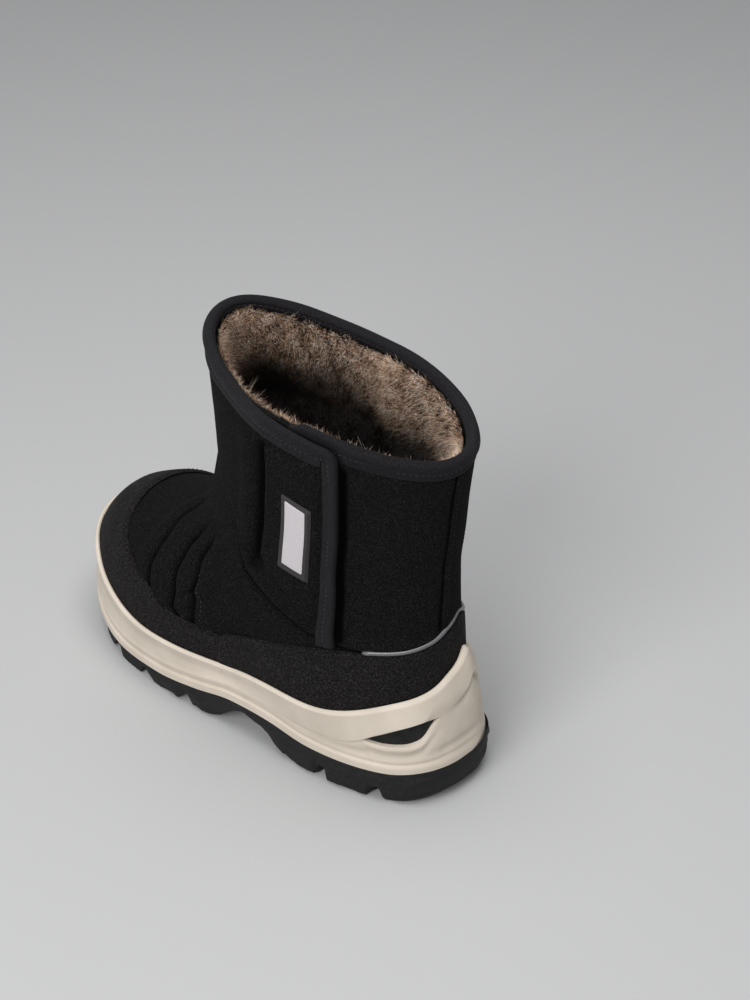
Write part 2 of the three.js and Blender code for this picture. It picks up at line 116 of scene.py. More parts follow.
def last(v, a):
    """Points of the shell's outer face, at height v from the feather line (0) to the collar (1)
    and at angle a from the toe, in degrees, over the lateral side."""
    v, a = np.broadcast_arrays(np.asarray(v, float), np.radians(a))
    q = np.clip(v, 0, 1)
    c, s = np.cos(a), np.sin(a)
    power = np.where(c >= 0, front_power(q), back_power(q))
    reach = np.abs(c) ** (2 / power)
    x = wide_x(q) + (np.where(c >= 0, front_x(q), back_x(q)) - wide_x(q)) * reach
    z = wide_z(q) + (np.where(c >= 0, front_z(q), back_z(q)) - wide_z(q)) * reach ** 2
    half = np.where(s >= 0, lateral(q), medial(q))
    waist = np.where(s >= 0, waist_lateral(q), waist_medial(q))
    pinch = 1 - waist * bump(x - LAST_WAIST_X, LAST_WAIST_LENGTH)
    y = np.sign(s) * half * np.abs(s) ** (2 / power) * pinch + turn(x) * smooth((0.75 - q) / 0.3)
    return np.stack([x, y, z + np.maximum(0, v - 1) * COLLAR_RISE], -1)


def outward(v, a):
    """Unit normals of the last."""
    v, a = np.broadcast_arrays(np.clip(v, 0.001, 0.999), np.asarray(a, float))
    along = last(v, a + 0.06) - last(v, a - 0.06)
    up = last(v + 0.001, a) - last(v - 0.001, a)
    n = np.cross(along, up)
    return n / np.maximum(np.linalg.norm(n, axis=-1, keepdims=True), 1e-9)


def on_last(v, a, out):
    return last(v, a) + outward(v, a) * np.asarray(out, float)[..., None]


HEEL_MIDDLE = 189.0                     # the trims peak a little to the medial side of the heel


def from_toe(a, soft=0.0):
    """The angle from the toe over either side, for trims that mirror at their peak."""
    over = np.hypot(a % 360.0 - HEEL_MIDDLE, soft)
    return HEEL_MIDDLE - over * np.where(a % 360.0 > HEEL_MIDDLE, HEEL_MIDDLE / (360 - HEEL_MIDDLE), 1)


def mirrored(turned):
    """The medial angle for one on the lateral side."""
    return HEEL_MIDDLE + (HEEL_MIDDLE - turned) * (360 - HEEL_MIDDLE) / HEEL_MIDDLE


def round_angle(t):
    """Angles from 0 to 360 for t from 0 to 1, spread evenly along the boot's long sides."""
    c = np.cos(2 * np.pi * t)
    a = np.degrees(np.arccos(np.clip(np.sign(c) * np.abs(c) ** 1.6, -1, 1)))
    return np.where(t <= 0.5, a, 360 - a)


def ripple(points, size, seed, waves=9):
    """A soft seeded unevenness, about -1 to 1, whose swells are size millimetres across."""
    draw = np.random.default_rng(seed)
    total = np.zeros(points.shape[:-1])
    for _ in range(waves):
        direction = draw.normal(size=3)
        direction *= 2 * np.pi / (size * draw.uniform(0.8, 1.6)) / np.linalg.norm(direction)
        total += np.sin(points @ direction + draw.uniform(0, 2 * np.pi))
    return total / math.sqrt(waves)


def cut_cloth(rows, columns, at, thick=True):
    """A grid of cloth, bent to shape by at(s, t, side), which gives its points in millimetres and
    their place on the cloth. A thick one gets a second layer; a ring is closed on itself."""
    bm = bmesh.new()
    cloth = bm.verts.layers.float_vector.new("cloth")
    bmesh.ops.create_grid(bm, x_segments=columns, y_segments=rows, size=0.5)
    layers = [(bm.verts[:], 0)]
    if thick:
        made = bmesh.ops.extrude_face_region(bm, geom=bm.faces[:])
        layers.append(([g for g in made["geom"] if isinstance(g, bmesh.types.BMVert)], 1))
    for verts, side in layers:
        flat = np.array([v.co[:2] for v in verts]) + 0.5
        points, places = at(flat[:, 1], flat[:, 0], side)
        for vert, point, place in zip(verts, points * MM, places * MM):
            vert.co = point
            vert[cloth] = place
    bmesh.ops.remove_doubles(bm, verts=bm.verts, dist=2e-6)
    bmesh.ops.dissolve_degenerate(bm, edges=bm.edges, dist=1e-7)
    bmesh.ops.recalc_face_normals(bm, faces=bm.faces)
    return bm


def put_mesh(name, mesh, finish, sharp=None):
    """Makes the finished mesh a piece of the boot."""
    mesh.name = name
    mesh.shade_smooth()
    if sharp is not None:
        mesh.set_sharp_from_angle(angle=math.radians(sharp))
    mesh.materials.append(finish.material)
    piece = bpy.data.objects.new(name, mesh)
    bpy.context.scene.collection.objects.link(piece)
    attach(piece, "root")
    return piece


def fit(name, bm, finish, sharp=60):
    mesh = bpy.data.meshes.new(name)
    bm.to_mesh(mesh)
    bm.free()
    return put_mesh(name, mesh, finish, sharp)


def hue(code):
    """A hex colour as the shader's linear one."""
    parts = [int(code[i:i + 2], 16) / 255 for i in (0, 2, 4)]
    return (*[p / 12.92 if p <= 0.04045 else ((p + 0.055) / 1.055) ** 2.4 for p in parts], 1)


class Finish:
    """A material whose colour and relief are built up from fine textures."""

    def __init__(self, name, roughness, source="Object", **sockets):
        self.material = bpy.data.materials.new(name)
        self.material.use_nodes = True
        self.nodes = self.material.node_tree.nodes
        self.links = self.material.node_tree.links
        self.shader = self.nodes["Principled BSDF"]
        self.shader.inputs["Roughness"].default_value = roughness
        for socket, value in sockets.items():
            self.shader.inputs[socket.replace("_", " ")].default_value = value
        if source == "Object":
            self.place = self.add("ShaderNodeTexCoord").outputs["Object"]
        else:
            self.place = self.add("ShaderNodeAttribute", attribute_name=source).outputs["Vector"]
        self.normal = None

    def add(self, kind, inputs=(), **settings):
        node = self.nodes.new(kind)
        for key, value in settings.items():
            setattr(node, key, value)
        for key, value in dict(inputs).items():
            if isinstance(value, bpy.types.NodeSocket):
                self.links.new(value, node.inputs[key])
            else:
                node.inputs[key].default_value = value
        return node

    def noise(self, size, detail=2.0, stretch=(1, 1, 1), roughness=0.5):
        """Cloudy noise with grains of the given size in millimetres."""
        put = self.add("ShaderNodeMapping", {"Vector": self.place, "Scale": stretch})
        return self.add("ShaderNodeTexNoise", {"Vector": put.outputs[0], "Scale": 1 / (size * MM),
                                               "Detail": detail, "Roughness": roughness}).outputs["Fac"]

    def cells(self, size):
        inputs = {"Vector": self.place, "Scale": 1 / (size * MM)}
        return self.add("ShaderNodeTexVoronoi", inputs).outputs["Distance"]

    def ribs(self, size, direction, soft=0.0):
        return self.add("ShaderNodeTexWave", {"Vector": self.place, "Scale": 0.314 / (size * MM),
                                              "Distortion": soft, "Detail": 1.0},
                        bands_direction=direction).outputs["Fac"]

    def ramp(self, value, *stops):
        node = self.add("ShaderNodeValToRGB", {"Fac": value})
        spots = node.color_ramp.elements
        while len(spots) < len(stops):
            spots.new(0.5)
        for spot, (where, colour) in zip(spots, stops):
            spot.position = where
            spot.color = colour if isinstance(colour, tuple) else (colour, colour, colour, 1)
        return node.outputs["Color"]

    def blend(self, share, one, other):
        return self.add("ShaderNodeMix", {0: share, 6: one, 7: other}, data_type="RGBA").outputs[2]

    def colour(self, value):
        self.links.new(value, self.shader.inputs["Base Color"])
        return self

    def rough(self, value, low, high):
        node = self.add("ShaderNodeMapRange", {"Value": value, "To Min": low, "To Max": high})
        self.links.new(node.outputs[0], self.shader.inputs["Roughness"])
        return self

    def relief(self, value, depth):
        """Raises the surface by the value, depth millimetres at most."""
        inputs = {"Height": value, "Distance": depth * MM, "Strength": 1.0}
        if self.normal is not None:
            inputs["Normal"] = self.normal
        self.normal = self.add("ShaderNodeBump", inputs).outputs["Normal"]
        self.links.new(self.normal, self.shader.inputs["Normal"])
        return self


soft_shell = Finish("brushed_soft_shell", 0.90, Sheen_Weight=0.02, Sheen_Roughness=0.45,
                    Sheen_Tint=hue("8c8c90"), Specular_IOR_Level=0.05)
nap = soft_shell.noise(0.55, 3.0, roughness=0.65)
weave = soft_shell.noise(0.9, 1.0, stretch=(1, 1, 0.45))
lint = soft_shell.noise(0.8, 1.0)
cloth_place = soft_shell.add("ShaderNodeAttribute", attribute_name="cloth").outputs["Vector"]
# Painted shade: the third value of the cloth attribute darkens the colour to near black in the creases and
# gaps where shade falls.
painted_crease_shade = soft_shell.add("ShaderNodeSeparateXYZ", {0: cloth_place}).outputs[2]
painted_crease_shade = soft_shell.add("ShaderNodeMapRange", {"Value": painted_crease_shade, "From Max": MM}).outputs[0]
brushed = soft_shell.blend(
    soft_shell.ramp(lint, (0.74, 0.0), (0.82, 0.5)),
    soft_shell.ramp(nap, (0.34, hue("020202")), (0.54, hue("121212")), (0.72, hue("303030"))),
    hue("4a4844"))
soft_shell.colour(soft_shell.blend(painted_crease_shade, brushed, hue("010101")))
soft_shell.relief(weave, 0.20).relief(nap, 0.22)

# Stitching lines of the three tucks, as (height, angle from the toe).
TUCKS = [
    [(0.22, 83), (0.325, 67.5), (0.43, 50), (0.53, 29.5), (0.59, 25), (0.66, 32)],
    [(0.21, 91.5), (0.30, 87), (0.42, 70.5), (0.525, 55), (0.58, 50.5), (0.64, 50.5)],
    [(0.20, 93.8), (0.275, 92.4), (0.34, 90.7), (0.41, 85), (0.52, 67.5), (0.60, 60)],
]
# Angle of the flap's free edge, by height.
flap_free, = table((0.36, 133), (0.43, 130), (0.62, 124), (0.75, 121), (0.95, 119.5), (1.05, 119))
STAY_SEAM = 177.0
# The fold that the flap grows from, as (height, angle).
FLAP_VALLEY = [(0.60, 93), (0.70, 87.5), (0.80, 85.5), (0.90, 85.5), (0.97, 87)]
# Lower edge of the front shaft panel, by the angle from the toe, on the lateral and medial sides.
panel_edge, = table((0, 0.735), (35, 0.735), (61, 0.718), (80, 0.622), (93, 0.555), (107, 0.487),
                    (124, 0.415), (140, 0.39), (180, 0.39))
medial_edge, = table((0, 0.735), (40, 0.735), (72, 0.69), (100, 0.56), (128, 0.41), (180, 0.35))


def fine_path(points, count=160):
    """A list of (height, angle) points as a fine smooth path."""
    points = np.array(points, float)
    k = np.arange(len(points))
    t = np.linspace(0, len(points) - 1, count)
    return curve(k, points[:, 0])(t), curve(k, points[:, 1])(t)


def draw_in(v, a):
    """How far the stitched padding stands off the last, in millimetres, and how much painted shade darkens
    its colour along the seams, the flap's fold and the gaps beside the flap and the stay, from 0 to 1."""
    turned = np.where(a > 180, 360 - a, a)
    edge = np.where(a > 180, medial_edge(turned), panel_edge(turned))
    points = last(v, a)
    out = np.full(v.shape, -0.25)
    out = out + 0.26 * ripple(points, 36, 3) + 0.10 * ripple(points, 14, 4)
    step = (v - edge) * SHAFT_RISE
    side = smooth((turned - 55) / 35)
    out += (0.3 + 0.7 * side) * smooth(step / 3.0 + 0.5) - (0.4 + side) * bump(step + 0.6, 2.0)
    out += (0.5 + 0.5 * side) * bump(step - 5.0, 3.2) - 0.35 * bump(step + 4.0, 3.5)
    pv, pa = np.concatenate([fine_path(path, 700) for path in TUCKS], axis=1)
    seam = np.concatenate([last(pv, pa), last(pv, -pa)])
    tree = kdtree.KDTree(len(seam))
    for i, point in enumerate(seam):
        tree.insert(point, i)
    tree.balance()
    close = np.flatnonzero((v > 0.17) & (v < 0.78) & (turned < 115))
    found = [tree.find(points[i]) for i in close]
    far = np.array([f[2] for f in found])
    fade = np.tile(smooth((0.64 - pv) / 0.12), 2)[[f[1] for f in found]]
    roll = np.hypot(far, 0.9) - 0.9
    out[close] += fade * (3.3 * pillow(roll, 5.5) - 1.5 * smooth((far - 5.5) / 9) - 1.8)
    # Painted shade: the colour is darkened along the tucks' seams, the flap's fold, the gap past the flap,
    # the stay seam and the panel's lower edge.
    crease_shade = np.zeros(v.shape)
    crease_shade[close] = fade * bump(far, 1.3)
    pv, pa = fine_path(FLAP_VALLEY)
    valley = np.interp(v, pv, pa)
    fold = np.where(a < 180, 1.0, 0) * smooth((v - 0.57) / 0.08) * smooth((0.95 - v) / 0.04)
    out -= 3.6 * fold * bump(a - valley + 1.2, 3.0)
    crease_shade += fold * bump(a - valley + 1.6, 2.6, 4)
    lap = np.where(a < 180, 1.0, 0) * smooth((v - 0.40) / 0.03) * smooth((TAPE_ROW - v) / 0.02)
    past = a - flap_free(v)
    out -= 1.2 * lap * bump(past - 0.6, 2.2)
    crease_shade += lap * bump(past - 0.5, 1.6, 4)
    above = smooth((v - 0.42) / 0.03)
    out -= 0.9 * bump(a - STAY_SEAM + 0.6, 1.5) * above
    crease_shade += 0.8 * bump(a - STAY_SEAM + 0.9, 1.2) * above
    crease_shade += (0.25 + 0.65 * side) * bump(step + 0.7, 1.6)
    out += 1.2 * fold * bump(a - valley + 10, 4.5)
    return out * smooth((v - 0.02) / 0.05) * np.where(v > 0.975, 0.2, 1.0), np.clip(crease_shade, 0, 1)


def upper_wall(s, t, side):
    a = round_angle(t)
    outer = s <= RIM_ROW
    v = np.interp(s, [0, 0.05, 0.66, RIM_ROW, 0.967, 0.976, 0.985, 1.0],
                  [0.0, 0.20, 0.72, 0.999, 0.999, 0.986, 0.96, 0.0])
    out = np.interp(s, [RIM_ROW, 0.967, 0.976, 0.985, 1.0], [0, -2.8, -2.8, -4.4, -4.4])
    crease_shade = np.zeros_like(out)
    out[outer], crease_shade[outer] = draw_in(v[outer], a[outer])
    points = on_last(v, a, out)
    # the painted crease shade goes to the third value of the cloth attribute
    return points, np.stack([0 * a, 0 * a, crease_shade], -1)


upper_shell = fit("upper_shell", cut_cloth(226, 420, upper_wall, thick=False), soft_shell)
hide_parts("upper")

# ---- Footbed and fur ----
# The lining is wool-blend pile that stands inwards, brushed every way: dark brown at the root and greyish
# tan at the tips. Further down the shaft its colour is darkened with painted shade. It is knitted into a
# backing cloth, which also covers the footbed.

pile = Finish("wool_pile", 0.75, "strand", Specular_IOR_Level=0.12)
strand = pile.add("ShaderNodeSeparateXYZ", {0: pile.place})
tips = pile.ramp(strand.outputs[1], (0.0, hue("2c1f16")), (0.30, hue("a47d62")), (0.62, hue("eac6a8")),
                 (1.0, hue("fff0df")))
grown = pile.blend(pile.ramp(strand.outputs[0], (0.02, 0.0), (0.55, 1.0)), hue("22150d"), tips)
# The strand attribute's third value blends in painted shade, darker further down the shaft.
pile.colour(pile.blend(strand.outputs[2], grown, hue("060403")))

backing = Finish("pile_backing", 0.95, Sheen_Weight=0.1)
backing.colour(backing.ramp(backing.noise(1.4, 3.0), (0.3, hue("0a0705")), (0.7, hue("241a13"))))
backing.relief(backing.noise(0.9, 3.0), 0.6)


def lining_wall(s, t, side):
    a = round_angle(t)
    v = np.interp(s, [0, 0.5, 1], [0.02, 0.983, 0.02])
    out = np.where(s < 0.5, -4.5, -5.7)
    points = on_last(v, a, out)
    points += outward(v, a) * (0.35 * ripple(points, 9, 12))[:, None] * (s >= 0.5)[:, None]
    return points, points


fit("lining_backing", cut_cloth(60, 120, lining_wall, thick=False), backing, sharp=80)


def spike():
    """One fibre, a unit long and wide, standing on its root."""
    bm = bmesh.new()
    bmesh.ops.create_cone(bm, cap_ends=True, segments=3, radius1=1, radius2=0, depth=1)
    bmesh.ops.translate(bm, verts=bm.verts, vec=(0, 0, 0.5))
    bmesh.ops.remove_doubles(bm, verts=bm.verts, dist=1e-4)
    bmesh.ops.recalc_face_normals(bm, faces=bm.faces)
    return bm


def copies(template, axes, origins, marks=None):
    """Many copies of one small mesh, as one mesh, each set along its three axes at its origin.
    Marks go to the strand attribute."""
    co = np.array([v.co[:] for v in template.verts])
    faces = np.array([[v.index for v in f.verts] for f in template.faces])
    template.free()
    count, n = len(origins), len(co)
    turned = np.ascontiguousarray(np.stack(axes, -1)) * MM
    points = np.einsum("kij,nj->kni", turned, co) + (origins * MM)[:, None]
    corners = (faces[None] + (np.arange(count) * n)[:, None, None]).reshape(-1)
    mesh = bpy.data.meshes.new("copies")
    sides = faces.shape[1]
    mesh.vertices.add(count * n)
    mesh.vertices.foreach_set("co", points.astype(np.float32).ravel())
    mesh.loops.add(len(corners))
    mesh.loops.foreach_set("vertex_index", corners.astype(np.int32))
    mesh.polygons.add(len(corners) // sides)
    mesh.polygons.foreach_set("loop_start", np.arange(0, len(corners), sides, dtype=np.int32))
    if marks is not None:
        layer = mesh.attributes.new("strand", "FLOAT_VECTOR", "POINT")
        values = np.zeros((count, n, 3), np.float32)
        values[:, :, 0] = np.clip(co[:, 2], 0, 1)
        values[:, :, 1:] = marks[:, None]
        layer.data.foreach_set("vector", values.ravel())
    mesh.update(calc_edges=True)
    mesh.validate()
    return mesh


def unit(rows):
    return rows / np.maximum(np.linalg.norm(rows, axis=-1, keepdims=True), 1e-9)


def collar_height(points):
    """Height of the collar's plane over or under each point."""
    front, back = last(1.0, 0.0), last(1.0, 180.0)
    return front[2] + (points[..., 0] - front[0]) * (front[2] - back[2]) / (front[0] - back[0])


def grow_pile(name, roots, down, count, length, seed, width=0.075, pale=0.0):
    """A field of fibres: roots(draw, count) gives where they stand."""
    draw = np.random.default_rng(seed)
    base = roots(draw, count)
    into = to_middle(base)
    swirl = np.stack([ripple(base, 15, seed + k, 7) for k in (1, 2, 3)], -1)
    fine = np.stack([ripple(base, 5, seed + k, 7) for k in (4, 5, 6)], -1)
    way = unit(0.7 * into + down * np.array([0, 0, -1]) + 0.26 * swirl + 0.30 * fine
               + draw.normal(size=base.shape) * 0.62)
    way = unit(way + into * np.maximum(0, 0.30 - np.sum(way * into, axis=1, keepdims=True)))
    across = unit(np.cross(way, draw.normal(size=base.shape)))
    size = length * draw.uniform(0.5, 1.3, len(base)) * (1 + 0.20 * ripple(base, 7, seed + 9))
    thick = width * draw.uniform(0.7, 1.3, len(base))
    axes = across * thick[:, None], np.cross(way, across) * thick[:, None], way * size[:, None]
    shade = 0.50 + pale + 0.22 * ripple(base, 7, 11) + draw.normal(size=len(base)) * 0.32
    # Painted shade: the pile's colour darkens towards near black further below the collar, where the
    # shaft's depth is in shade.
    painted_depth_shade = smooth((collar_height(base) - base[:, 2] - 11 - 5 * ripple(base, 30, 77)) / 32)
    marks = np.stack([np.clip(shade, 0, 1), 0.99 * painted_depth_shade], -1)
    return put_mesh(name, copies(spike(), axes, base, marks), pile)


def wall_roots(low, high, out=-6.0):
    def roots(draw, count):
        t, v = draw.uniform(0, 1, count), draw.uniform(low, high, count)
        return on_last(v, round_angle(t), np.full(count, out))
    return roots


def to_middle(base):
    """Roughly the inward normal of the shaft."""
    middle = np.stack([-44 + 0.25 * np.clip(base[:, 0] + 44, -60, 60), 0 * base[:, 1], base[:, 2]], -1)
    return unit(middle - base)


for i in range(4):
    grow_pile(f"fur_collar_{i}", wall_roots(0.84, 0.986), 0.12, 15000, 3.9, 40 + 20 * i, 0.085)
grow_pile("fur_shaft", wall_roots(0.58, 0.85), 0.25, 14000, 5.4, 120, 0.13)
grow_pile("fur_rim", wall_roots(0.962, 0.990, -4.7), -0.10, 12000, 3.4, 140)
grow_pile("fur_foot", wall_roots(0.25, 0.60), 0.3, 6000, 6.0, 160, 0.16)
grow_pile("fur_stray", wall_roots(0.80, 0.988, -4.9), -0.10, 900, 8.5, 180, 0.055, 0.7)


def footbed(s, t, side):
    a = round_angle(t)
    reach = np.clip(s * 1.05, 0, 1)
    rim = on_last(np.zeros_like(a), a, np.full_like(a, -9.7))
    middle = np.stack([rim[:, 0], -2 + 0 * a, rim[:, 2]], -1)
    points = middle + (rim - middle) * reach[:, None]
    points[:, 2] += side * 4.6 * (1 - 0.4 * smooth((reach - 0.9) * 10))
    points[:, 2] += side * 0.4 * ripple(points, 11, 21)
    return points, points


sock = fit("footbed", cut_cloth(14, 96, footbed), backing, sharp=80)
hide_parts("insole")

# ---- Closure flap ----
# A padded flap of the same soft-shell that grows from a fold in the front panel, laps over the
# rear panel on the lateral side and is held by hook-and-loop under it. It is fastened.

FLAP_INNER = 2.4
FLAP_THICKNESS = 3.8
DEGREES_PER_MM = 0.968
drop_rows = np.linspace(1.02, 0.34, 200)
drop_path = last(drop_rows, np.full(200, 110.0))
drop_length = np.r_[0, np.cumsum(np.linalg.norm(np.diff(drop_path, axis=0), axis=1))]


def flap_place(forward, drop):
    """Height and angle of a point so many millimetres forward of the flap's free edge and below
    its top edge."""
    v = np.interp(drop, drop_length, drop_rows)
    return v, flap_free(v) - forward * DEGREES_PER_MM


def on_flap(forward, drop, out):
    v, a = flap_place(forward, drop)
    return on_last(v, a, out)


FLAP_WIDTH = 32.5


def foot_drop(forward):
    """How far down the flap reaches, which is further towards its free edge."""
    return np.interp(forward, [-2, 2, 8, 33, 40], [121, 119, 110, 76, 70])


FLAP_TRIM = 4.6                         # how far the panel stays back under the binding
FLAP_HEAD = 8.5


def flap_shape(s, t, side):
    forward = FLAP_TRIM + (FLAP_WIDTH - FLAP_TRIM) * t
    foot = foot_drop(forward)
    drop = FLAP_HEAD + (foot - FLAP_HEAD) * s
    edge = np.minimum((1 - t) * (FLAP_WIDTH - FLAP_TRIM), (1 - s) * (foot - FLAP_HEAD))
    crown = pillow(edge, 3.2)
    base = FLAP_INNER - 2.1 * smooth((forward - 30.5) / 2)
    places = np.stack([forward, drop, 0 * s], -1)
    points = on_flap(forward, drop, base - 2.0 * smooth((31 - forward) / 2))
    if side:
        soft = ripple(points, 24, 31)
        from_tape = np.minimum(forward - FLAP_TRIM - 1.0, drop - FLAP_HEAD - 4.5)
        out = base + FLAP_THICKNESS * crown
        out += 0.30 * soft * crown + 0.5 * smooth((forward - 9) / 8) * smooth((drop - 14) / 10) * crown
        out -= 1.7 * (1 - smooth(from_tape / 4.5))
        points = on_flap(forward, drop, out)
    return points, places


flap = fit("closure_flap_panel", cut_cloth(120, 46, flap_shape), soft_shell)
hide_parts("closure_flap")

# ---- Binding tape ----
# Charcoal ribbed tape, folded over the collar and sewn through with one row of lock stitch. It
# runs from under the flap round the heel and the front, then turns down the flap's free edge.

ribbed = Finish("binding_tape", 0.75, "cloth", Sheen_Weight=0.06, Sheen_Roughness=0.4,
                Sheen_Tint=hue("b0adb2"), Specular_IOR_Level=0.12)
ribs = ribbed.ribs(0.42, "X", 0.6)
threads = ribbed.noise(0.5, 2.0, stretch=(1, 0.35, 1))
ribbed.colour(ribbed.blend(ribbed.ramp(threads, (0.3, 0.0), (0.75, 1.0)), hue("0c0b0d"), hue("232124")))
ribbed.relief(ribs, 0.10).relief(threads, 0.12)

# Section of the folded tape, as distance out from the last and height above the collar's edge.
FOLD = np.array([
    (0.6, -7.2), (1.25, -7.3), (1.55, -6.7), (1.45, -4.6), (1.15, -3.2), (1.60, -2.0), (1.95, -0.4),
    (1.85, 1.0), (1.10, 2.2), (-0.3, 2.8), (-1.9, 2.7), (-3.2, 1.9), (-3.85, 0.7), (-3.75, -0.2),
    (-3.35, -0.8), (-3.65, -1.5), (-3.5, -2.2), (-3.1, -2.3), (-3.0, -1.4), (-2.95, 0.1), (-1.4, 0.6),
    (0.1, 0.5), (0.45, -1.6), (0.5, -6.6), (0.6, -7.2)])
TAPE_START, FLAP_CORNER = 97.0, 479.4
FLAP_REACH = 33.0                       # the sweep follows the flap from here, forward of its free edge
CORNER = 6.0
TAPE_FOOT = 119.0
FLAP_SAG = 2.2                          # the flap's corner hangs a little
FLAP_TOP_DROP = 5.0                     # the collar's edge, below the top of the flap's own measure
COLLAR_END = FLAP_CORNER - FLAP_REACH * DEGREES_PER_MM
collar_angles = np.linspace(TAPE_START, COLLAR_END, 900)
collar_run = np.r_[0, np.cumsum(np.linalg.norm(np.diff(last(np.ones(900), collar_angles), axis=0), axis=1))]
TOP_RUN = FLAP_REACH - CORNER
ARC_RUN = CORNER * math.pi / 2
TAPE_RUN = collar_run[-1] + TOP_RUN + ARC_RUN + TAPE_FOOT - CORNER


def tape_edge(run):
    """Along the flap: the point of its edge (forward, drop) and the way inward from there."""
    u = run - collar_run[-1]
    bend = np.clip((u - TOP_RUN) / ARC_RUN, 0, 1) * math.pi / 2
    forward = np.where(u < TOP_RUN, FLAP_REACH - u, CORNER - CORNER * np.sin(bend))
    drop = CORNER - CORNER * np.cos(bend) + np.maximum(0, u - TOP_RUN - ARC_RUN)
    drop = drop + FLAP_SAG * smooth(u / TOP_RUN)
    return forward, drop, np.sin(bend), np.cos(bend)


def on_tape(run, out, rise):
    """A point of the binding, from a place along it and a point of its section."""
    run, out, rise = np.broadcast_arrays(*(np.asarray(x, float) for x in (run, out, rise)))
    plain = run <= collar_run[-1]
    a = np.interp(run, collar_run, collar_angles)
    late = smooth((run - collar_run[-1] + 34) / 46)
    side = smooth((run - collar_run[-1] - TOP_RUN + 4) / 12)
    # over the flap the fold lies outside the rear panel's collar, which is thinner under it
    share = (out + 3.85) / 5.8
    out = out - 1.1 * np.maximum(out, 0) / 1.9 * (1 - smooth((run - 18) / 14))
    out = (1 - late) * out + late * (2.5 + share * 4.0)
    collar = on_last(1 + rise / COLLAR_RISE, a, out)
    forward, drop, in_f, in_d = tape_edge(run)
    inward = (2.8 - rise) * (1 - 0.42 * side)
    f = forward + in_f * inward
    d = FLAP_TOP_DROP - 2.8 + drop + in_d * inward
    v = np.where(d < drop_length[0], 1.02 - d / COLLAR_RISE, np.interp(d, drop_length, drop_rows))
    near = flap_free(v) - f * DEGREES_PER_MM
    tight = FLAP_CORNER - 360 - f * DEGREES_PER_MM
    hold = smooth((f - 12) / 18)
    flap_points = on_last(v, near * (1 - hold) + tight * hold, out)
    return np.where(plain[..., None], collar, flap_points)


def collar_fold(s, t, side):
    run = np.clip(TAPE_RUN * t, 0.0, TAPE_RUN)
    k = np.linspace(0, 1, len(FOLD))
    out, rise = np.interp(s, k, FOLD[:, 0]), np.interp(s, k, FOLD[:, 1])
    points = on_tape(run, out, rise)
    points[:, 2] -= 2.4 * (1 - smooth(run / 7))
    shake = ripple(points, 24, 51) * (rise > -4.5) * (out > -3) * 0.22
    points += unit(points - on_tape(run, out - 1.0, rise)) * shake[:, None]
    return points, np.stack([run, 30 * s, 0 * s], -1)


def close_ends(bm):
    bmesh.ops.holes_fill(bm, edges=[e for e in bm.edges if e.is_boundary], sides=0)
    bmesh.ops.recalc_face_normals(bm, faces=bm.faces)
    return bm


collar = fit("collar_binding", close_ends(cut_cloth(56, 560, collar_fold, thick=False)), ribbed, 50)
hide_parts("collar_tape", "flap_tape")


# Stitches: short plump loops of thread, a little proud of the cloth.
thread = Finish("sewing_thread", 0.7, Sheen_Weight=0.05, Specular_IOR_Level=0.15)
thread.colour(thread.ramp(thread.noise(0.6), (0.3, hue("2b2a2d")), (0.7, hue("46444a"))))
dark_thread = Finish("dark_sewing_thread", 0.7, Sheen_Weight=0.05, Specular_IOR_Level=0.12)
dark_thread.colour(dark_thread.ramp(dark_thread.noise(0.6), (0.3, hue("0e0e0f")), (0.7, hue("1f1e20"))))


def sew(name, path, normals, finish, slot, pitch, length=1.7, width=0.36):
    """A row of stitches along a path, in millimetres."""
    steps = np.r_[0, np.cumsum(np.linalg.norm(np.diff(path, axis=0), axis=1))]
    spots = np.arange(pitch / 2, steps[-1], pitch)

    def along(values, at):
        return np.stack([np.interp(at, steps, values[:, k]) for k in range(3)], -1)

    middle = along(path, spots)
    way = unit(along(path, spots + 0.4) - along(path, spots - 0.4))
    up = unit(along(normals, spots))
    side = unit(np.cross(up, way))
    up = np.cross(way, side)
    axes = way * length / 2, side * width / 2, up * width / 2
    bm = bmesh.new()
    bmesh.ops.create_icosphere(bm, subdivisions=1, radius=1.0)
    return put_mesh(name, copies(bm, axes, middle), finish)


def sew_on_last(name, v, a, out, finish, slot, **kind):
    return sew(name, on_last(v, a, np.broadcast_to(out, v.shape)), outward(v, a), finish, slot, **kind)


run = np.linspace(4, TAPE_RUN - 2, 1500)
for word, out, rise in (("outside", 1.22, -3.2), ("inside", -3.42, -0.8)):
    near, far = on_tape(run, out, rise), on_tape(run, out - 1.0, rise)
    row = slice(None) if word == "outside" else run < collar_run[-1] - 20
    sew(f"stitches_collar_{word}", near[row], ((near - far) * (1 if word == "outside" else -1))[row],
        thread, "tape", pitch=2.6, length=1.8)
pv, pa = fine_path(TUCKS[2])
sewn = (pv > 0.25) & (pv < 0.46)
for word, sign in (("lateral", 1), ("medial", -1)):
    a = sign * (pa[sewn] + 1.7)
    sew_on_last(f"stitches_tuck_{word}", pv[sewn], a, draw_in(pv[sewn], a % 360)[0] + 0.05, thread,
                "soft_shell", pitch=2.6, length=1.3)

# ---- Blank label ----
# A small woven patch on the flap, with slanting ends and a dark border; its light field is bare.

patch = Finish("woven_patch", 0.8, "cloth", Sheen_Weight=0.2)
patch_weave = patch.noise(0.35, 1.0, stretch=(1, 3, 1))
patch.colour(patch.ramp(patch_weave, (0.25, hue("a59fa1")), (0.75, hue("d3cfd2"))))
patch.relief(patch_weave, 0.08)
border = Finish("woven_border", 0.85, "cloth")
border.colour(border.ramp(border.noise(0.4), (0.3, hue("141314")), (0.7, hue("3b3638"))))
border.relief(border.noise(0.4), 0.15)
LABEL_SLANT = 0.32


